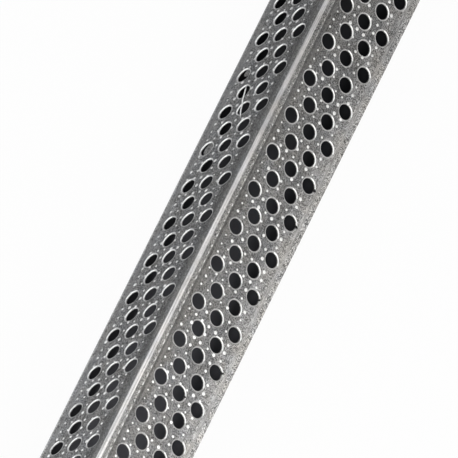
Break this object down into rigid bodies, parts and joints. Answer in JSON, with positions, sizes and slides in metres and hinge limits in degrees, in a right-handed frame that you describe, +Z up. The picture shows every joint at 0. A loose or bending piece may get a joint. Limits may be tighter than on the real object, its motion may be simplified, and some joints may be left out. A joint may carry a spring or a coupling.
{
  "type": "drywall corner bead",
  "caption": "Perforated galvanised steel corner bead: a right-angle strip with a slim raised rounded nose and two flanges of staggered round holes, set over a wallboard corner.",
  "frame": {"origin": "middle of the base, on the floor between the two flange edges, half way along the length", "axes": "+Z up through the nose, +Y along the length, +X across to the right flange"},
  "size_m": [0.0438, 2, 0.0228],
  "materials": {
    "galvanised_steel": "dull zinc spangle with small raised dimples"
  },
  "bodies": {
    "root": {"corner_bead": "galvanised_steel"}
  },
  "joints": []
}
